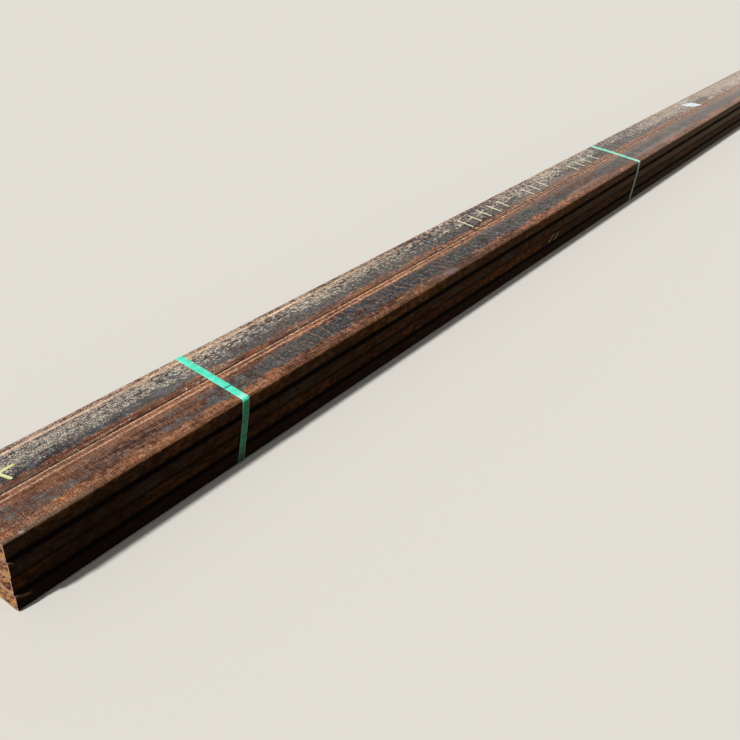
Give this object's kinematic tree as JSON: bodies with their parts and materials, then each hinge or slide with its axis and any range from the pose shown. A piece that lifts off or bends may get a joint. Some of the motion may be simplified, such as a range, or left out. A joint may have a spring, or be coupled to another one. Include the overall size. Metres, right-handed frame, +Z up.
{
  "type": "bundle of rectangular steel tubes",
  "caption": "Bundle of long rectangular steel tubes with open ends and rolled corners, laid flat in two columns and held by tight green plastic straps.",
  "frame": {"origin": "centre of the bundle's box, on the surface that it lies on", "axes": "+X along the tubes towards the far end, +Y towards the back column, +Z up"},
  "size_m": [7.3272, 0.3118, 0.2081],
  "materials": {
    "rusty_steel": "mill scale and red-brown rust, matt",
    "strap_plastic": "emerald green polyester strapping, satin"
  },
  "bodies": {
    "root": {"tube_front_1": "rusty_steel", "tube_front_2": "rusty_steel", "tube_front_3": "rusty_steel", "tube_front_4": "rusty_steel", "tube_back_1": "rusty_steel", "tube_back_2": "rusty_steel", "tube_back_3": "rusty_steel", "tube_back_4": "rusty_steel", "strap_near": "strap_plastic", "strap_middle": "strap_plastic", "strap_far": "strap_plastic"}
  },
  "joints": []
}
